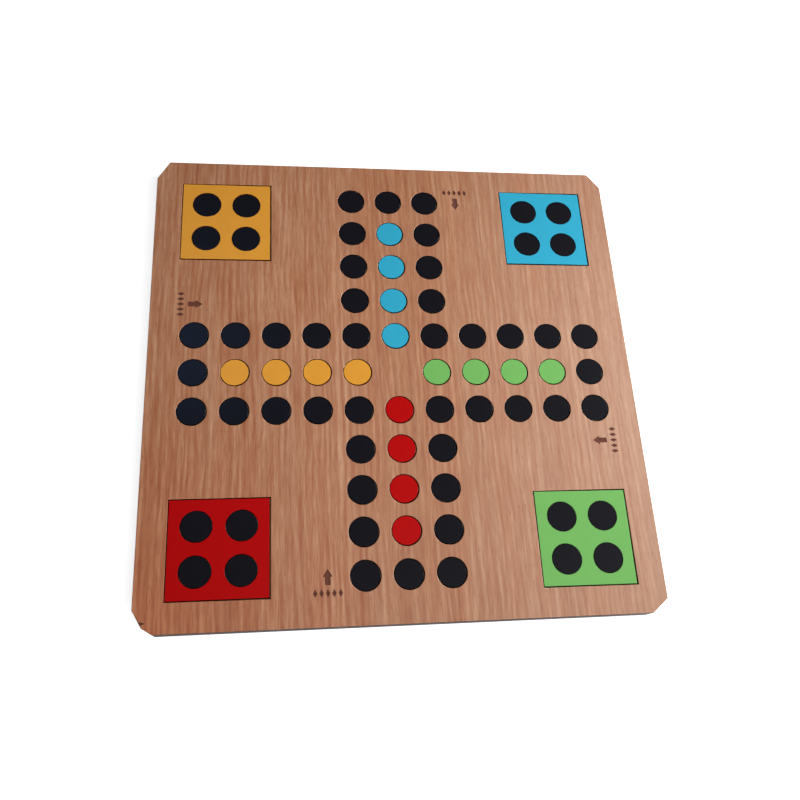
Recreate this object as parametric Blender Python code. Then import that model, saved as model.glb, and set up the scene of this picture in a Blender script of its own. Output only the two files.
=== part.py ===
"""A ludo board: a beech panel with flush acrylic discs and yard plates, glued to a plywood base.

Units are metres and +Z is up. The origin lies under the middle of the board, on its underside, and
the red player sits at -Y. Seen from above, red, yellow, blue and green follow one another clockwise.
"""

import math

import bmesh
import bpy
from mathutils import Matrix, Vector

# Panels
panel_thickness = 0.003
base_thickness = 0.008
glue_gap = 0.0003
edge_margin = 0.0275  # from the middle of an arm's end spot to the board's edge

# Corners, cut by hand, anticlockwise: how far the points of each cut lie in from the board's edge,
# along X and along Y. The front left one took two cuts
corner_cuts = {
    "front_left": ((0.0, 0.0134), (0.0054, 0.0038), (0.0114, 0.0)),
    "front_right": ((0.0102, 0.0), (0.0, 0.0080)),
    "back_right": ((0.0, 0.0108), (0.0080, 0.0)),
    "back_left": ((0.0076, 0.0), (0.0, 0.0130)),
}

# Spots of the track, the home runs and the yards
spot_pitch = 0.025
disc_diameter = 0.017
inlay_gap = 0.0004  # all round every disc and yard plate
arm_spots = 5  # from the middle of the board to an arm's end
disc_sides = 24

# Yards
yard_side = 0.0566
yard_margin = 0.0172  # from a yard plate to the board's edge
yard_spot_pitch = 0.0254
yard_disc_diameter = 0.0176

# Engraved arrow beside each start spot
arrow_length = 0.009
arrow_head_length = 0.0044
arrow_head_width = 0.0056
arrow_shaft_width = 0.0032
arrow_barb = 0.0003  # how far the head's corners lie behind its neck
arrow_reach = 0.0215  # from the middle of the start spot
engraving_depth = 0.0004

# Every cut runs past its face, and every joined piece into its neighbour, by this much
overrun = 0.001

# Points nearer than this are one point
weld_distance = 0.000001

# Edges that turn by more than this stay sharp
sharp_angle = math.radians(40)

# Worked out from the sizes above
board_half = arm_spots * spot_pitch + edge_margin
disc_radius = disc_diameter / 2
hole_radius = disc_radius + inlay_gap
yard_disc_radius = yard_disc_diameter / 2
yard_hole_radius = yard_disc_radius + inlay_gap
yard_centre = board_half - yard_margin - yard_side / 2
panel_bottom = base_thickness + glue_gap
board_top = panel_bottom + panel_thickness

# One side of the board for each player, clockwise from -Y, with the colour of the player's pieces
player_colours = {"red": "#BF1216", "yellow": "#DA9B30", "blue": "#35A4CE", "green": "#73BF65"}
beech_colour = "#B18161"
plywood_colour = "#BF9B76"
black_colour = "#16161B"
char_colour = "#593C2C"


def clear_scene():
    for thing in list(bpy.data.objects):
        bpy.data.objects.remove(thing, do_unlink=True)


def new_collection(name):
    collection = bpy.data.collections.new(name)
    bpy.context.scene.collection.children.link(collection)
    return collection


def linear(colour):
    """The linear value of a colour that is written as a screen would show it."""
    channels = [int(colour[k : k + 2], 16) / 255 for k in (1, 3, 5)]
    return [c / 12.92 if c <= 0.04045 else ((c + 0.055) / 1.055) ** 2.4 for c in channels]


def finish(name, colour, roughness, coat=0.0):
    """A plain Principled material."""
    material = bpy.data.materials.new(name)
    material.use_nodes = True
    shader = material.node_tree.nodes["Principled BSDF"]
    shader.inputs["Base Color"].default_value = (*linear(colour), 1.0)
    shader.inputs["Roughness"].default_value = roughness
    shader.inputs["Metallic"].default_value = 0.0
    shader.inputs["Coat Weight"].default_value = coat
    return material


def quarter_turn(side):
    """Turns a place on red's side to the same place on another side, clockwise seen from above."""
    return Matrix.Rotation(-side * math.pi / 2, 3, "Z")


def track_steps():
    """Column and row of the ten spots of red's quarter of the track, in the order of play.

    The first is the start spot: the track runs up the arm, out along the next one and past its end.
    """
    up = [(-1, -row) for row in range(arm_spots, 0, -1)]
    out = [(-column, -1) for column in range(2, arm_spots + 1)]
    return up + out + [(-arm_spots, 0)]


def home_steps():
    """Column and row of red's four home spots, from the arm's end inwards."""
    return [(0, -row) for row in range(arm_spots - 1, 0, -1)]


def on_board(step, side):
    return quarter_turn(side) @ Vector((step[0] * spot_pitch, step[1] * spot_pitch, 0.0))


def yard_middle(side):
    return quarter_turn(side) @ Vector((-yard_centre, -yard_centre, 0.0))


def yard_spots():
    """Places of the four spots of a yard, from the yard's middle."""
    half = yard_spot_pitch / 2
    return [Vector((x, y, 0.0)) for y in (half, -half) for x in (-half, half)]


def board_outline():
    """The square with its corners cut, anticlockwise from the front left."""
    sides = ((-1, -1), (1, -1), (1, 1), (-1, 1))
    outline = []
    for cuts, (x, y) in zip(corner_cuts.values(), sides):
        outline += [Vector((x * (board_half - in_x), y * (board_half - in_y), 0.0)) for in_x, in_y in cuts]
    return outline


def square_outline(side_length, middle):
    half = side_length / 2
    corners = ((-half, -half), (half, -half), (half, half), (-half, half))
    return [middle + Vector((x, y, 0.0)) for x, y in corners]


def circle_outline(radius, middle):
    angles = [2 * math.pi * k / disc_sides for k in range(disc_sides)]
    return [middle + Vector((radius * math.sin(a), radius * math.cos(a), 0.0)) for a in angles]


def arrow_outline():
    """A block arrow that points up the board, from its tip, about its own middle."""
    tip = arrow_length / 2
    neck = tip - arrow_head_length
    right = (
        (0.0, tip),
        (arrow_head_width / 2, neck - arrow_barb),
        (arrow_shaft_width / 2, neck),
        (arrow_shaft_width / 2, -tip),
    )
    left = [(-x, y) for x, y in reversed(right[1:])]
    return [Vector((x, y, 0.0)) for x, y in (*right, *left)]


def shade(mesh):
    """Smooth round walls between sharp rims."""
    mesh.shade_smooth()
    mesh.set_sharp_from_angle(angle=sharp_angle)


def flat_piece(name, outlines, bottom, height, collection, material):
    """A plate with the first outline, and a hole for each of the others, as a welded mesh object."""
    curve = bpy.data.curves.new(name, "CURVE")
    curve.dimensions = "2D"
    curve.fill_mode = "BOTH"
    curve.extrude = height / 2
    for outline in outlines:
        spline = curve.splines.new("POLY")
        spline.points.add(len(outline) - 1)
        for point, place in zip(spline.points, outline):
            point.co = (place.x, place.y, 0.0, 1.0)
        spline.use_cyclic_u = True
    flat = bpy.data.objects.new(name, curve)
    flat.location.z = bottom + height / 2
    collection.objects.link(flat)
    bpy.context.view_layer.update()
    solid = flat.evaluated_get(bpy.context.evaluated_depsgraph_get())
    mesh = bpy.data.meshes.new_from_object(solid)
    place = flat.matrix_world.copy()
    bpy.data.objects.remove(flat)
    shape = bmesh.new()
    shape.from_mesh(mesh)
    bmesh.ops.remove_doubles(shape, verts=shape.verts, dist=weld_distance)
    bmesh.ops.recalc_face_normals(shape, faces=shape.faces)
    shape.to_mesh(mesh)
    shape.free()
    mesh.name = name
    mesh.materials.clear()
    mesh.materials.append(material)
    shade(mesh)
    piece = bpy.data.objects.new(name, mesh)
    piece.matrix_world = place
    collection.objects.link(piece)
    return piece


def cylinders(name, discs, bottom, height, material):
    """One mesh of upright cylinders. Each disc is given by its radius and its place."""
    mesh = bpy.data.meshes.new(name)
    shape = bmesh.new()
    for radius, place in discs:
        bmesh.ops.create_cone(
            shape,
            cap_ends=True,
            cap_tris=False,
            segments=disc_sides,
            radius1=radius,
            radius2=radius,
            depth=height,
            matrix=Matrix.Translation(place + Vector((0.0, 0.0, bottom + height / 2))),
        )
    shape.to_mesh(mesh)
    shape.free()
    mesh.materials.append(material)
    shade(mesh)
    return mesh


def boolean(piece, tool, operation, solver="EXACT"):
    modifier = piece.modifiers.new(operation.title(), "BOOLEAN")
    modifier.operation = operation
    modifier.solver = solver
    modifier.material_mode = "TRANSFER"
    modifier.object = tool


def hide_tool(tool):
    tool.hide_render = True
    tool.display_type = "WIRE"


def make_top_panel(parts, tools, beech, char):
    """The beech face, with a hole for every spot outside the yards and a square opening for each yard."""
    outlines = [board_outline()]
    for side in range(4):
        for step in track_steps() + home_steps():
            outlines.append(circle_outline(hole_radius, on_board(step, side)))
        outlines.append(square_outline(yard_side + 2 * inlay_gap, yard_middle(side)))
    panel = flat_piece("top_panel", outlines, panel_bottom, panel_thickness, parts, beech)
    for side in range(4):
        # The exact solver can open a seam here, where the tops of a whole row of holes lie on one line
        boolean(panel, make_arrow_cutter(side, tools, char), "DIFFERENCE", solver="MANIFOLD")
    return panel


def make_arrow_cutter(side, tools, char):
    """The arrow beside one start spot, which points the way the track runs."""
    bottom = board_top - engraving_depth
    height = engraving_depth + overrun
    cutter = flat_piece(f"arrow_cut_{side + 1}", [arrow_outline()], bottom, height, tools, char)
    beside = Vector((-spot_pitch - arrow_reach, -arm_spots * spot_pitch, cutter.location.z))
    cutter.location = quarter_turn(side) @ beside
    cutter.rotation_euler.z = -side * math.pi / 2
    hide_tool(cutter)
    return cutter


def make_base_panel(parts, tools, plywood, black):
    """The plywood base, with the start spots and the yards' spots standing on it as flush bosses."""
    panel = flat_piece("base_panel", [board_outline()], 0.0, base_thickness, parts, plywood)
    discs = []
    for side in range(4):
        discs.append((disc_radius, on_board(track_steps()[0], side)))
        discs.extend((yard_disc_radius, yard_middle(side) + spot) for spot in yard_spots())
    bottom = base_thickness - overrun
    mesh = cylinders("fixed_spots", discs, bottom, board_top - bottom, black)
    spots = bpy.data.objects.new("fixed_spots", mesh)
    tools.objects.link(spots)
    boolean(panel, spots, "UNION")
    hide_tool(spots)
    return panel


def make_discs(parts, prefix, mesh, numbered_places):
    discs = []
    for number, place in numbered_places:
        disc = bpy.data.objects.new(prefix + number, mesh)
        disc.location = place
        parts.objects.link(disc)
        discs.append(disc)
    return discs


def make_board():
    clear_scene()
    parts = new_collection("ludo_board")
    tools = new_collection("cutters")
    middle = Vector((0.0, 0.0, 0.0))
    beech = finish("oiled_beech", beech_colour, 0.45)
    plywood = finish("beech_plywood", plywood_colour, 0.6)
    black = finish("black_acrylic", black_colour, 0.18, coat=0.5)
    char = finish("laser_char", char_colour, 0.8)

    pieces = [make_base_panel(parts, tools, plywood, black), make_top_panel(parts, tools, beech, char)]

    one_disc = [(disc_radius, middle)]
    track_disc = cylinders("track_disc", one_disc, panel_bottom, panel_thickness, black)
    steps = track_steps()
    numbered = []
    for side in range(4):
        for index, step in enumerate(steps[1:], start=2):
            numbered.append((f"{side * len(steps) + index:02d}", on_board(step, side)))
    pieces += make_discs(parts, "track_disc_", track_disc, numbered)

    for side, (player, colour) in enumerate(player_colours.items()):
        acrylic = finish(player + "_acrylic", colour, 0.25, coat=0.3)
        outlines = [square_outline(yard_side, middle)]
        outlines += [circle_outline(yard_hole_radius, spot) for spot in yard_spots()]
        plate = flat_piece("yard_plate_" + player, outlines, panel_bottom, panel_thickness, parts, acrylic)
        plate.location += yard_middle(side)
        home_disc = cylinders("home_disc_" + player, one_disc, panel_bottom, panel_thickness, acrylic)
        homes = [(str(k), on_board(step, side)) for k, step in enumerate(home_steps(), start=1)]
        pieces += [plate, *make_discs(parts, f"home_disc_{player}_", home_disc, homes)]

    board = bpy.data.objects.new("ludo_board", None)
    parts.objects.link(board)
    for piece in pieces:
        piece.parent = board


make_board()
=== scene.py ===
"""The looks of a wooden ludo board: its finishes, its fine shapes, the camera, the lights and the floor.

Units are metres and +Z is up. The board lies on the floor with its middle over the origin, and the red
player sits at -Y. Seen from above, red, yellow, blue and green follow one another clockwise.
"""

import math
import random

import bmesh
import bpy
from mathutils import Matrix, Quaternion, Vector


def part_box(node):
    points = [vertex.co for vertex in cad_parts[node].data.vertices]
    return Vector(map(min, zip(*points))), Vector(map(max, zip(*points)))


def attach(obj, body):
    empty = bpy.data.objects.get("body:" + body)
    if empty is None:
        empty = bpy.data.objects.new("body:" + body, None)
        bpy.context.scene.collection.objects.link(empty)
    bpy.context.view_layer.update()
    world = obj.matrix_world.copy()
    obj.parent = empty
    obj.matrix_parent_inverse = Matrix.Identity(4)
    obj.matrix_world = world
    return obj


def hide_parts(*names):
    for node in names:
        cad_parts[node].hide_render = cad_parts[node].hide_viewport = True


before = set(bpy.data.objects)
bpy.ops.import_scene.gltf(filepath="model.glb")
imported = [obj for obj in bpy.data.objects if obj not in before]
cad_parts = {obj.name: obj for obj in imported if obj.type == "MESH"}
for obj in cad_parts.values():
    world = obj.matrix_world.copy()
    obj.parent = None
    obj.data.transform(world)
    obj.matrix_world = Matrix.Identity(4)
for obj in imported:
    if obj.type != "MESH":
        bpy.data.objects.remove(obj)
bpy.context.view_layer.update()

mm = 0.001

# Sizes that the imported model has, but that no node's box gives
glue_gap = 0.3 * mm  # between the base and what lies on it
inlay_gap = 0.4 * mm  # all round every disc and yard plate
yard_spot_pitch = 25.4 * mm
yard_disc_radius = 8.8 * mm
start_mark_reach = 21.5 * mm  # from the middle of a start spot to its arrow
arrow_length = 9.0 * mm
arrow_head_length = 4.4 * mm
arrow_head_width = 5.6 * mm
arrow_shaft_width = 3.2 * mm

# Fine shapes that only the looks have
panel_ease = 0.25 * mm  # how far the panels' edges are rounded
acrylic_ease = 0.03 * mm  # the same on the acrylic
circle_steps = 72
ease_steps = 1
seam = 0.02 * mm  # left between the two panels
engraving_depth = 0.25 * mm
overrun = 1.0 * mm  # how far a cut runs past its face
lozenge_count = 5
lozenge_row = 16.8 * mm  # from the first lozenge's outer tip to the last one's
lozenge_width = 2.5 * mm
lozenge_height = 4.6 * mm
lozenge_gap = 4.5 * mm  # from the arrow's tail to the middle of the row
disc_sink = 0.05 * mm  # how far a disc may lie under the face
least_sink = disc_sink / 3
disc_tilt = math.radians(0.12)
plate_play = 0.05 * mm
plate_turn = math.radians(0.25)
disc_slack = 0.08 * mm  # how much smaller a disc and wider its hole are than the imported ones
plate_slack = 0.13 * mm  # the same, for each side of a yard plate
inlay_shift = Vector((-0.1, 0.1, 0.0)) * mm  # the inlays were all pushed the same way as the glue set
inlay_reach = 136.5 * mm  # all inlays lie within this of the middle, and all of the board's edge beyond it
chip = ((-150.8, -144.9), (-149.0, -148.0), (-144.9, -146.2))  # mm, from the board's middle
weld_distance = 0.001 * mm
sharp_angle = math.radians(50)
level = 0.999  # the least upright part of a level face's normal
nearly_level = 0.9  # the same, on the upper half of an eased edge

players = ("red", "yellow", "blue", "green")
arm_spots = 5

# The beech's patterns, each as wide and as long as the marks it draws
growth_line = 4.2 * mm
growth_drift = (14 * mm, 260 * mm)
growth_strength = (9 * mm, 70 * mm)
growth_turns = 3.0  # how many growth lines the drift moves them by
growth_share = 0.22
grain_wander = (60 * mm, 110 * mm)
grain_bend = 6 * mm
blush_patch = (9 * mm, 240 * mm)
blush_width = 600 * mm  # how far across the veneer turns from brown to pink
ray_fleck = (0.8 * mm, 5 * mm)
pore = (0.35 * mm, 6 * mm)  # real ones are finer: these are as coarse as they need to be to show
pore_depth = 0.05 * mm
quiet_from = -60 * mm  # the grain grows quieter from here to the right
quiet_to = 150 * mm
quiet_share = 0.35
warm_band_middle = 12 * mm  # from the board's middle, to the right
warm_band_reach = 60 * mm
# Painted shade: the veneer turns darker and warmer within this reach of the front-left corner, where the
# lamps' light falls off
shade_corner = Vector((-150.0, -150.0, 11.3)) * mm
shade_reach = 130 * mm

# Patterns of the other finishes
beam_mark = (0.5 * mm, 9 * mm)  # real ones are finer: these are as coarse as they need to be to show
ply_beam_mark = (0.6 * mm, 6 * mm)  # coarse for the same reason
engraved_line = (0.5 * mm, 4 * mm)  # coarse for the same reason
ply_count = 5
soot_and_shade_run = 1.5 * mm
acrylic_cloud = 9 * mm
paper_mottle = 40 * mm

black_shade = "#15141A"
acrylic_shades = {"red": "#B80404", "yellow": "#E79D37", "blue": "#35A8C8", "green": "#76B55F"}
# Edge colours of the acrylic: each sheet's own colour painted deep, as shade in the narrow gaps round the
# inlays
gap_shade_colours = {"red": "#7A0406", "yellow": "#A84A0C", "blue": "#145068", "green": "#2E5C18"}
black_roughness = 0.25
colour_roughness = 0.29

# Camera
lens = 36.4
sensor = 36.0
camera_place = Vector((-66.2, -194.7, 473.7)) * mm
camera_aim = Vector((0.5, -18.7, 11.3)) * mm
camera_roll = math.radians(18.9)

# Studio
floor_radius = 6.0
sky_steepness = 3.0
softboxes = (  # name, place, side, power in watts, shade, and spread in degrees
    ("key", (0.787, 0.204, 0.256), 0.52, 3.37, "#F8FFFF", 75),
    ("fill", (0.193, -0.329, 0.423), 0.6, 0.70, "#FFFFFF", 81),
    ("window", (-0.4, 0.81, 1.68), 0.35, 0.36, "#79B2FF", 180),
)


def middle(node):
    low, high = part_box(node)
    return (low + high) / 2


panel_low, panel_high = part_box("top_panel")
face_height = panel_high.z
panel_bottom = panel_low.z
base_top = panel_bottom - glue_gap
disc_low, disc_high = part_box("track_disc_02")
disc_radius = (disc_high.x - disc_low.x) / 2
hole_radius = disc_radius + inlay_gap + disc_slack
yard_hole_radius = yard_disc_radius + inlay_gap
spot_pitch = middle("home_disc_red_2").y - middle("home_disc_red_1").y
plate_low, plate_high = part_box("yard_plate_red")
plate_side = plate_high.x - plate_low.x
start_spot = Vector((-spot_pitch, -arm_spots * spot_pitch, 0.0))


def quarter_turn(side):
    """Turns a place on red's side to the same place on another side, clockwise seen from above."""
    return Matrix.Rotation(-side * math.pi / 2, 3, "Z")


def flat_middle(node):
    place = middle(node)
    place.z = 0.0
    return place


# Outlines


def circle(radius, place):
    angles = [2 * math.pi * k / circle_steps for k in range(circle_steps)]
    return [place + Vector((radius * math.cos(a), radius * math.sin(a), 0.0)) for a in angles]


def square(side, place):
    corners = ((-1, -1), (1, -1), (1, 1), (-1, 1))
    return [place + Vector((x, y, 0.0)) * side / 2 for x, y in corners]


def board_outline():
    """The board's outline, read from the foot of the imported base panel, anticlockwise."""
    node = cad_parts["base_panel"]
    foot = {tuple(v.co.xy) for v in node.data.vertices if v.co.z < glue_gap}
    corners = sorted(foot, key=lambda place: math.atan2(place[1], place[0]))
    return [Vector((x, y, 0.0)) for x, y in corners]


def arrow():
    """A block arrow that points up the board, about its own middle."""
    tip = arrow_length / 2
    neck = tip - arrow_head_length
    right = (
        (0.0, tip),
        (arrow_head_width / 2, neck),
        (arrow_shaft_width / 2, neck),
        (arrow_shaft_width / 2, -tip),
    )
    left = [(-x, y) for x, y in reversed(right[1:])]
    return [Vector((x, y, 0.0)) for x, y in (*right, *left)]


def lozenges():
    """A row of upright lozenges under the arrow."""
    row = -arrow_length / 2 - lozenge_gap
    step = (lozenge_row - lozenge_width) / (lozenge_count - 1)
    outlines = []
    for k in range(lozenge_count):
        place = Vector((k * step - (lozenge_row - lozenge_width) / 2, row, 0.0))
        tips = ((lozenge_width, 0.0), (0.0, lozenge_height), (-lozenge_width, 0.0), (0.0, -lozenge_height))
        outlines.append([place + Vector((x, y, 0.0)) / 2 for x, y in tips])
    return outlines


# Meshes


def shade(mesh):
    """Level faces are shaded flat, and round walls and eased edges smooth."""
    mesh.shade_smooth()
    mesh.set_sharp_from_angle(angle=sharp_angle)
    for face in mesh.polygons:
        face.use_smooth = abs(face.normal.z) < level


def plate_mesh(name, outlines, bottom, top, ease):
    """A plate with the first outline, a hole for each of the others, and all its edges eased."""
    curve = bpy.data.curves.new(name, "CURVE")
    curve.dimensions = "2D"
    curve.fill_mode = "BOTH"
    curve.extrude = (top - bottom) / 2 - ease
    curve.bevel_depth = ease
    curve.bevel_resolution = ease_steps
    curve.offset = -ease
    for outline in outlines:
        spline = curve.splines.new("POLY")
        spline.points.add(len(outline) - 1)
        for point, place in zip(spline.points, outline):
            point.co = (place.x, place.y, 0.0, 1.0)
        spline.use_cyclic_u = True
    flat = bpy.data.objects.new(name, curve)
    bpy.context.scene.collection.objects.link(flat)
    bpy.context.view_layer.update()
    mesh = bpy.data.meshes.new_from_object(flat.evaluated_get(bpy.context.evaluated_depsgraph_get()))
    bpy.data.objects.remove(flat)
    bpy.data.curves.remove(curve)
    shape = bmesh.new()
    shape.from_mesh(mesh)
    bmesh.ops.remove_doubles(shape, verts=shape.verts, dist=weld_distance)
    bmesh.ops.recalc_face_normals(shape, faces=shape.faces)
    shape.transform(Matrix.Translation((0.0, 0.0, (top + bottom) / 2)))
    shape.to_mesh(mesh)
    shape.free()
    mesh.name = name
    mesh.materials.clear()
    shade(mesh)
    return mesh


def add_piece(name, mesh, nodes):
    """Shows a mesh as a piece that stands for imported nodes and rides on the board's one body."""
    piece = bpy.data.objects.new(name, mesh)
    bpy.context.scene.collection.objects.link(piece)
    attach(piece, "root")
    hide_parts(*nodes)
    return piece


def give_walls(mesh, material, reach=math.inf):
    """Every face within reach of the middle that doesn't look straight up or down takes this material."""
    mesh.materials.append(material)
    for face in mesh.polygons:
        within = max(abs(face.center.x), abs(face.center.y)) < reach
        if within and abs(face.normal.z) < nearly_level:
            face.material_index = len(mesh.materials) - 1


def marks():
    """Outlines of the arrow and the row of lozenges beside each start spot."""
    outlines = []
    for side in range(len(players)):
        turn = quarter_turn(side)
        place = start_spot - Vector((start_mark_reach, 0.0, 0.0))
        for outline in [arrow(), *lozenges()]:
            outlines.append([turn @ (place + point) for point in outline])
    outlines.append([Vector((x, y, 0.0)) * mm for x, y in chip])
    return outlines


def engrave(piece, floor):
    """Cuts all the marks a little way into a piece, down to a floor of another material."""
    bottom = face_height - engraving_depth
    mesh = plate_mesh("marks", marks(), bottom, face_height + overrun, 0.0)
    mesh.materials.append(floor)
    cutter = bpy.data.objects.new("marks", mesh)
    bpy.context.scene.collection.objects.link(cutter)
    cut = piece.modifiers.new("marks", "BOOLEAN")
    cut.operation = "DIFFERENCE"
    cut.solver = "MANIFOLD"
    cut.material_mode = "TRANSFER"
    cut.object = cutter
    bpy.context.view_layer.update()
    cut_mesh = bpy.data.meshes.new_from_object(piece.evaluated_get(bpy.context.evaluated_depsgraph_get()))
    piece.modifiers.clear()
    piece.data = cut_mesh
    shade(cut_mesh)
    bpy.data.objects.remove(cutter)


# Materials


def linear(shade):
    """The linear colour of a hex value."""
    channels = [int(shade[k : k + 2], 16) / 255 for k in (1, 3, 5)]
    return [c / 12.92 if c <= 0.04045 else ((c + 0.055) / 1.055) ** 2.4 for c in channels] + [1.0]


def new_material(name):
    material = bpy.data.materials.new(name)
    material.use_nodes = True
    return material, material.node_tree, material.node_tree.nodes["Principled BSDF"]


def pick(sockets, key):
    """The socket with that name or number, among those in use."""
    used = [s for s in sockets if s.enabled]
    return used[key] if isinstance(key, int) else next(s for s in used if s.name == key)


def add(tree, kind, inputs=(), shades=(), **settings):
    """Adds a node with its settings and links. A colour ramp runs evenly through its shades."""
    made = tree.nodes.new("ShaderNode" + kind)
    for name, value in settings.items():
        setattr(made, name, value)
    for k, shade in enumerate(shades):
        stops = made.color_ramp.elements
        stop = stops[k] if k < len(stops) else stops.new(1.0)
        stop.color = linear(shade)
    for k in range(len(shades)):
        made.color_ramp.elements[k].position = k / (len(shades) - 1)
    for key, value in dict(inputs).items():
        if isinstance(value, bpy.types.Node):
            value = pick(value.outputs, 0)
        if isinstance(value, bpy.types.NodeSocket):
            tree.links.new(value, pick(made.inputs, key))
        else:
            pick(made.inputs, key).default_value = value
    return made


def streaks(tree, place, width, length, start, detail=1.0):
    """Noise drawn out along the grain: its marks are so wide across it and so long along it."""
    scale = (1 / width, 1 / length, 1 / width)
    drawn = add(tree, "Mapping", {"Vector": place, "Location": (start, start, start), "Scale": scale})
    return add(tree, "TexNoise", {"Vector": drawn, "Scale": 1.0, "Detail": detail})


def beech_tone(tree, place):
    """How pale the beech is, from 0 to 1: growth lines about 4 mm apart among finer and wider streaks."""
    drift = streaks(tree, place, *growth_drift, start=3.0)
    across = add(tree, "SeparateXYZ", {"Vector": place})
    turns = add(tree, "Math", {0: across.outputs["X"], 1: 1 / growth_line}, operation="MULTIPLY")
    turns = add(tree, "Math", {0: drift.outputs["Fac"], 1: growth_turns, 2: turns}, operation="MULTIPLY_ADD")
    turns = add(tree, "Math", {0: turns, 1: 2 * math.pi}, operation="MULTIPLY")
    stripe = add(tree, "Math", {0: turns}, operation="SINE")
    strength = streaks(tree, place, *growth_strength, start=7.0)
    tone = add(tree, "Math", {0: stripe, 1: strength.outputs["Fac"]}, operation="MULTIPLY")
    layers = (  # width, length, start, detail and share of the tone
        (30 * mm, 800 * mm, 11.0, 0.0, 0.12),
        (4.5 * mm, 160 * mm, 5.0, 1.0, 0.60),
        (2.2 * mm, 40 * mm, 29.0, 1.0, 0.95),
        (1.0 * mm, 11 * mm, 19.0, 1.0, 0.80),
    )
    base_tone = 0.5 - sum(share for *_, share in layers) / 2
    tone = {0: tone, 1: growth_share, 2: base_tone}
    tone = add(tree, "Math", tone, operation="MULTIPLY_ADD")
    for width, length, start, detail, share in layers:
        layer = streaks(tree, place, width, length, start, detail)
        tone = {0: layer.outputs["Fac"], 1: share, 2: tone}
        tone = add(tree, "Math", tone, operation="MULTIPLY_ADD")
    return tone


def oiled_beech():
    """Beech veneer, sanded and oiled: narrow pinkish brown streaks, short dark ray flecks, and painted shade
    that darkens and warms it towards the front-left corner.
    """
    material, tree, shader = new_material("oiled_beech")
    place = add(tree, "TexCoord").outputs["Object"]
    wander = streaks(tree, place, *grain_wander, start=1.0, detail=3.0)
    bend = add(tree, "Math", {0: wander.outputs["Fac"], 1: grain_bend}, operation="MULTIPLY")
    bend = add(tree, "CombineXYZ", {"X": bend})
    grain = add(tree, "VectorMath", {0: place, 1: bend}, operation="ADD")
    tone = beech_tone(tree, grain)
    across = add(tree, "SeparateXYZ", {"Vector": place})
    quiet = {"Value": across.outputs["X"], "From Min": quiet_from, "From Max": quiet_to}
    quiet = add(tree, "MapRange", {**quiet, "To Max": quiet_share})
    tone = pick(add(tree, "Mix", {"Factor": quiet, "A": tone, "B": 0.5}).outputs, 0)
    brown = add(tree, "ValToRGB", {"Fac": tone}, shades=("#A15222", "#B5744C", "#CE9672"))
    pink = add(tree, "ValToRGB", {"Fac": tone}, shades=("#9C5326", "#AF7652", "#C99877"))
    blush = streaks(tree, grain, *blush_patch, start=31.0, detail=2.0)
    blush = {0: across.outputs["X"], 1: 1 / blush_width, 2: blush.outputs["Fac"]}
    blush = add(tree, "Math", blush, operation="MULTIPLY_ADD")
    blush = add(tree, "MapRange", {"Value": blush, "From Min": 0.3, "From Max": 0.8})
    colour = add(tree, "Mix", {"Factor": blush, "A": brown, "B": pink}, data_type="RGBA")
    rays = streaks(tree, grain, *ray_fleck, start=53.0)
    fleck = {"Value": rays.outputs["Fac"], "From Min": 0.6, "From Max": 0.75, "To Max": 0.4}
    fleck = add(tree, "MapRange", fleck)
    colour = add(tree, "Mix", {"Factor": fleck, "A": colour, "B": linear("#8A4424")}, data_type="RGBA")
    aside = add(tree, "Math", {0: across.outputs["X"], 1: warm_band_middle}, operation="SUBTRACT")
    aside = add(tree, "Math", {0: aside}, operation="ABSOLUTE")
    warm = {"Value": aside, "From Min": warm_band_reach, "From Max": 0.0}
    warm = add(tree, "MapRange", warm, interpolation_type="SMOOTHSTEP")
    warm = {"Factor": warm, "A": colour, "B": linear("#F8EDDC")}
    colour = add(tree, "Mix", warm, data_type="RGBA", blend_type="MULTIPLY")
    # Painted shade: darker and warmer towards the front-left corner, where the lamps' light falls off
    reach = add(tree, "VectorMath", {0: place, 1: shade_corner}, operation="DISTANCE")
    shade_amount = {"Value": reach.outputs["Value"], "From Min": shade_reach, "From Max": 0.0}
    shade_amount = add(tree, "MapRange", shade_amount)
    shade_mix = {"Factor": shade_amount, "A": colour, "B": linear("#FFDDBC")}
    colour = add(tree, "Mix", shade_mix, data_type="RGBA", blend_type="MULTIPLY")
    tree.links.new(pick(colour.outputs, 0), shader.inputs["Base Color"])
    pores = streaks(tree, grain, *pore, start=41.0, detail=2.0)
    rough = add(tree, "MapRange", {"Value": pores.outputs["Fac"], "To Min": 0.56, "To Max": 0.66})
    tree.links.new(rough.outputs[0], shader.inputs["Roughness"])
    shader.inputs["IOR"].default_value = 1.6
    shader.inputs["Specular IOR Level"].default_value = 0.85
    bump = {"Height": pores.outputs["Fac"], "Strength": 0.25, "Distance": pore_depth}
    bump = add(tree, "Bump", bump)
    tree.links.new(bump.outputs[0], shader.inputs["Normal"])
    return material


def beam_marks(tree, place, width, height):
    """Fine upright marks that a laser's beam leaves on a cut edge."""
    upright = add(tree, "Mapping", {"Vector": place, "Scale": (1 / width, 1 / width, 1 / height)})
    return add(tree, "TexNoise", {"Vector": upright, "Scale": 1.0, "Detail": 2.0})


def shaded_laser_cut_edge():
    """Wood that a laser has cut: browned at the kerf and painted darker still, near black, as shade on the
    board's sides, with fine upright marks of the beam.
    """
    material, tree, shader = new_material("shaded_laser_cut_edge")
    place = add(tree, "TexCoord").outputs["Object"]
    beam = beam_marks(tree, place, *beam_mark)
    colour = add(tree, "ValToRGB", {"Fac": beam.outputs["Fac"]}, shades=("#100705", "#1E0E08", "#34190F"))
    tree.links.new(colour.outputs[0], shader.inputs["Base Color"])
    shader.inputs["Roughness"].default_value = 0.75
    return material


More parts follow.
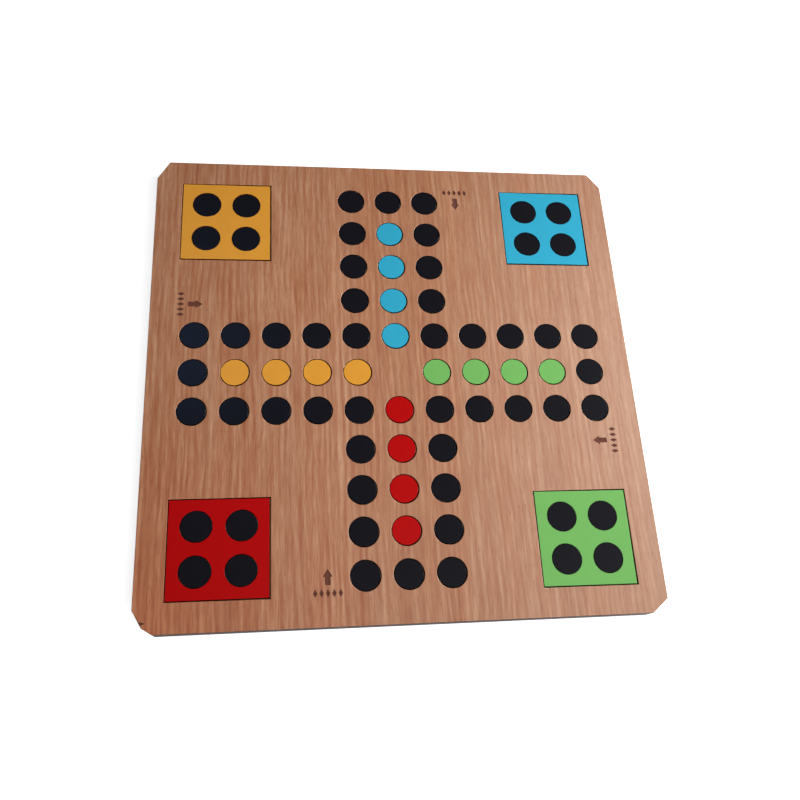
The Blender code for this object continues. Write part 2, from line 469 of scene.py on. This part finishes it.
def baked_sap():
    """Gap walls in beech: charred, with the wood's sap baked red-brown into them."""
    material, tree, shader = new_material("baked_sap")
    place = add(tree, "TexCoord").outputs["Object"]
    runs = add(tree, "TexNoise", {"Vector": place, "Scale": 1 / soot_and_shade_run, "Detail": 2.0})
    colour = add(tree, "ValToRGB", {"Fac": runs.outputs["Fac"]}, shades=("#160703", "#301107", "#501D0D"))
    tree.links.new(colour.outputs[0], shader.inputs["Base Color"])
    shader.inputs["Roughness"].default_value = 0.7
    shader.inputs["Specular IOR Level"].default_value = 0.2
    return material


def laser_engraving():
    """Wood that a laser has scorched line by line: dull dark brown."""
    material, tree, shader = new_material("laser_engraving")
    place = add(tree, "TexCoord").outputs["Object"]
    lines = streaks(tree, place, *engraved_line, start=5.0, detail=2.0)
    colour = add(tree, "ValToRGB", {"Fac": lines.outputs["Fac"]}, shades=("#5A3228", "#6D4137", "#7F5045"))
    tree.links.new(colour.outputs[0], shader.inputs["Base Color"])
    shader.inputs["Roughness"].default_value = 0.8
    shader.inputs["Specular IOR Level"].default_value = 0.1
    return material


def beech_plywood():
    """Sanded beech plywood: plain pale faces and layered edges, browned where a laser has cut them."""
    material, tree, shader = new_material("beech_plywood")
    place = add(tree, "TexCoord").outputs["Object"]
    tone = beech_tone(tree, place)
    colour = add(tree, "ValToRGB", {"Fac": tone}, shades=("#A9825E", "#BF9B76", "#D2B18C"))
    tree.links.new(colour.outputs[0], shader.inputs["Base Color"])
    shader.inputs["Roughness"].default_value = 0.65
    return material


def shaded_layered_edge():
    """The laser-cut edge of plywood: five plies, every other one showing its darker end grain, all browned
    and painted darker still, near black, as shade on the board's sides.
    """
    material, tree, shader = new_material("shaded_layered_edge")
    place = add(tree, "TexCoord").outputs["Object"]
    height = add(tree, "SeparateXYZ", {"Vector": place})
    ply = add(tree, "Math", {0: height.outputs["Z"], 1: ply_count / base_top}, operation="MULTIPLY")
    odd = add(tree, "Math", {0: ply, 1: 2.0}, operation="MODULO")
    odd = add(tree, "Math", {0: odd, 1: 1.0}, operation="GREATER_THAN")
    beam = beam_marks(tree, place, *ply_beam_mark)
    pale = add(tree, "ValToRGB", {"Fac": beam.outputs["Fac"]}, shades=("#24150F", "#38231A", "#4C3226"))
    dark = add(tree, "ValToRGB", {"Fac": beam.outputs["Fac"]}, shades=("#120A07", "#20130E", "#301D15"))
    colour = add(tree, "Mix", {"Factor": odd, "A": pale, "B": dark}, data_type="RGBA")
    tree.links.new(pick(colour.outputs, 0), shader.inputs["Base Color"])
    shader.inputs["Roughness"].default_value = 0.7
    return material


def cast_acrylic(name, shade, roughness):
    """Cast acrylic sheet: one even colour through and through, evenly glossy, and faintly clouded."""
    material, tree, shader = new_material(name)
    place = add(tree, "TexCoord").outputs["Object"]
    cloud = add(tree, "TexNoise", {"Vector": place, "Scale": 1 / acrylic_cloud, "Detail": 3.0})
    colour = add(tree, "MapRange", {"Value": cloud.outputs["Fac"], "To Min": 0.95, "To Max": 1.05})
    colour = add(tree, "VectorMath", {0: linear(shade)[:3], "Scale": colour}, operation="SCALE")
    tree.links.new(pick(colour.outputs, 0), shader.inputs["Base Color"])
    shader.inputs["Roughness"].default_value = roughness
    shader.inputs["IOR"].default_value = 1.49
    return material


def gap_shaded_acrylic(name, shade):
    """Laser-cut edge of acrylic in a narrow gap: painted shade, its own colour gone deep and mottled towards
    black.
    """
    material, tree, shader = new_material(name)
    place = add(tree, "TexCoord").outputs["Object"]
    shade_mottle = add(tree, "TexNoise", {"Vector": place, "Scale": 1 / soot_and_shade_run, "Detail": 2.0})
    colour = add(tree, "ValToRGB", {"Fac": shade_mottle.outputs["Fac"]}, shades=("#050302", shade))
    tree.links.new(colour.outputs[0], shader.inputs["Base Color"])
    shader.inputs["Roughness"].default_value = 0.6
    shader.inputs["Specular IOR Level"].default_value = 0.1
    return material


def sooty_glue():
    """Glue that has taken up the laser's soot and dried in the gaps: nearly black, faintly streaked."""
    material, tree, shader = new_material("sooty_glue")
    place = add(tree, "TexCoord").outputs["Object"]
    runs = add(tree, "TexNoise", {"Vector": place, "Scale": 1 / soot_and_shade_run, "Detail": 2.0})
    colour = add(tree, "ValToRGB", {"Fac": runs.outputs["Fac"]}, shades=("#080606", "#1A1210"))
    tree.links.new(colour.outputs[0], shader.inputs["Base Color"])
    shader.inputs["Roughness"].default_value = 0.8
    shader.inputs["Specular IOR Level"].default_value = 0.2
    return material


def white_paper():
    """The studio's pale paper floor."""
    material, tree, shader = new_material("white_paper")
    place = add(tree, "TexCoord").outputs["Object"]
    fibres = add(tree, "TexNoise", {"Vector": place, "Scale": 1 / paper_mottle, "Detail": 4.0})
    colour = add(tree, "ValToRGB", {"Fac": fibres.outputs["Fac"]}, shades=("#F2F2F1", "#F6F6F5"))
    tree.links.new(colour.outputs[0], shader.inputs["Base Color"])
    shader.inputs["Roughness"].default_value = 0.9
    shader.inputs["Emission Color"].default_value = (1.0, 1.0, 1.0, 1.0)
    shader.inputs["Emission Strength"].default_value = 0.8
    return material


# Pieces


def make_top_panel(wood, edge, gap, floor):
    outlines = [board_outline()]
    discs = [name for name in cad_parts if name.startswith(("track_disc_", "home_disc_"))]
    places = [flat_middle(name) for name in sorted(discs)]
    places += [quarter_turn(side) @ start_spot for side in range(len(players))]
    outlines += [circle(hole_radius, place) for place in places]
    opening = plate_side + 2 * (inlay_gap + plate_slack)
    outlines += [square(opening, flat_middle("yard_plate_" + name)) for name in players]
    mesh = plate_mesh("beech_panel", outlines, base_top + seam, face_height, panel_ease)
    mesh.materials.append(wood)
    give_walls(mesh, edge)
    give_walls(mesh, gap, inlay_reach)
    panel = add_piece("beech_panel", mesh, ["top_panel"])
    engrave(panel, floor)


def make_base(wood, edge):
    mesh = plate_mesh("plywood_base", [board_outline()], 0.0, base_top, panel_ease)
    mesh.materials.append(wood)
    give_walls(mesh, edge)
    add_piece("plywood_base", mesh, ["base_panel"])


def yard_spots(player):
    """Places of the four spots of a player's yard."""
    half = yard_spot_pitch / 2
    middle_place = flat_middle("yard_plate_" + player)
    return [middle_place + Vector((x, y, 0.0)) for y in (half, -half) for x in (-half, half)]


def make_plate(player, acrylic, edge, luck):
    centre = flat_middle("yard_plate_" + player)
    outlines = [square(plate_side - 2 * plate_slack, centre)]
    outlines += [circle(yard_hole_radius, spot) for spot in yard_spots(player)]
    outlines = [[point - centre for point in outline] for outline in outlines]
    mesh = plate_mesh("yard_" + player, outlines, base_top + seam, face_height, acrylic_ease)
    mesh.materials.append(acrylic)
    give_walls(mesh, edge)
    plate = add_piece("yard_" + player, mesh, ["yard_plate_" + player])
    play = Vector((luck.uniform(-plate_play, plate_play), luck.uniform(-plate_play, plate_play), 0.0))
    plate.location = centre + inlay_shift + play
    plate.rotation_euler.z = luck.uniform(-plate_turn, plate_turn)


def place_disc(name, mesh, place, node, luck):
    """Sets one disc in its hole, turned anyhow and never quite level."""
    disc = add_piece(name, mesh, [node])
    disc.rotation_euler = (
        luck.uniform(-disc_tilt, disc_tilt),
        luck.uniform(-disc_tilt, disc_tilt),
        luck.uniform(0.0, 2 * math.pi),
    )
    disc.location = place + inlay_shift - Vector((0.0, 0.0, luck.uniform(least_sink, disc_sink)))


def make_discs(black, colours, glue, edges, luck):
    def disc_mesh(name, radius, material, edge):
        outline = circle(radius, Vector((0.0, 0.0, 0.0)))
        mesh = plate_mesh(name, [outline], base_top + seam + disc_sink, face_height, acrylic_ease)
        mesh.materials.append(material)
        give_walls(mesh, edge)
        return mesh

    black_disc = disc_mesh("black_disc", disc_radius - disc_slack, black, glue)
    yard_disc = disc_mesh("yard_disc", yard_disc_radius, black, glue)
    for name in sorted(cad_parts):
        if name.startswith("track_disc_"):
            number = name[-2:]
            place_disc("track_" + number, black_disc, flat_middle(name), name, luck)
    for side, player in enumerate(players):
        start = quarter_turn(side) @ start_spot
        place_disc("start_" + player, black_disc, start, "base_panel", luck)
        for number, spot in enumerate(yard_spots(player), start=1):
            place_disc(f"yard_{player}_{number}", yard_disc, spot, "base_panel", luck)
        colour, edge = colours[player], edges[player]
        home_disc = disc_mesh("home_disc_" + player, disc_radius - disc_slack, colour, edge)
        for number in range(1, arm_spots):
            name = f"home_{player}_{number}"
            node = f"home_disc_{player}_{number}"
            place_disc(name, home_disc, flat_middle(node), node, luck)


# Studio


def make_camera():
    camera = bpy.data.objects.new("camera", bpy.data.cameras.new("camera"))
    camera.data.lens = lens
    camera.data.sensor_width = sensor
    camera.location = camera_place
    aim = (camera_aim - camera_place).to_track_quat("-Z", "Y")
    camera.rotation_mode = "QUATERNION"
    camera.rotation_quaternion = aim @ Quaternion((0.0, 0.0, 1.0), camera_roll)
    bpy.context.scene.collection.objects.link(camera)
    bpy.context.scene.camera = camera


def make_light(name, place, size, power, shade, spread):
    """A square softbox that faces the board. A grid on it can narrow its spread."""
    light = bpy.data.lights.new(name, "AREA")
    light.shape = "SQUARE"
    light.size = size
    light.spread = math.radians(spread)
    light.energy = power
    light.color = linear(shade)[:3]
    lamp = bpy.data.objects.new(name, light)
    lamp.location = place
    lamp.rotation_mode = "QUATERNION"
    lamp.rotation_quaternion = (-Vector(place)).to_track_quat("-Z", "Y")
    bpy.context.scene.collection.objects.link(lamp)


def make_sky():
    """A room with pale walls and a dim ceiling: the sky fades from the horizon up."""
    world = bpy.data.worlds.new("studio")
    world.use_nodes = True
    tree = world.node_tree
    across = add(tree, "SeparateXYZ", {"Vector": add(tree, "TexCoord").outputs["Generated"]})
    fall = add(tree, "Math", {0: 1.0, 1: across.outputs["Z"]}, operation="SUBTRACT", use_clamp=True)
    fall = add(tree, "Math", {0: fall, 1: sky_steepness}, operation="POWER")
    colour = add(tree, "ValToRGB", {"Fac": fall}, shades=("#171717", "#AAABAD"))
    tree.links.new(colour.outputs[0], tree.nodes["Background"].inputs["Color"])
    bpy.context.scene.world = world


def make_studio():
    for softbox in softboxes:
        make_light(*softbox)
    make_sky()
    bpy.context.scene.view_settings.view_transform = "Standard"
    mesh = bpy.data.meshes.new("floor")
    shape = bmesh.new()
    bmesh.ops.create_circle(shape, cap_ends=True, segments=circle_steps, radius=floor_radius)
    shape.to_mesh(mesh)
    shape.free()
    mesh.materials.append(white_paper())
    floor = bpy.data.objects.new("floor", mesh)
    bpy.context.scene.collection.objects.link(floor)


def make_board():
    luck = random.Random(7)
    edge = shaded_laser_cut_edge()
    make_base(beech_plywood(), shaded_layered_edge())
    make_top_panel(oiled_beech(), edge, baked_sap(), laser_engraving())
    glue = sooty_glue()
    black = cast_acrylic("black_acrylic", black_shade, black_roughness)
    colours = {}
    edges = {}
    for player in players:
        colours[player] = cast_acrylic(player + "_acrylic", acrylic_shades[player], colour_roughness)
        edges[player] = gap_shaded_acrylic(player + "_acrylic_edge", gap_shade_colours[player])
    for player in players:
        make_plate(player, colours[player], edges[player], luck)
    make_discs(black, colours, glue, edges, luck)


make_camera()
make_board()
make_studio()
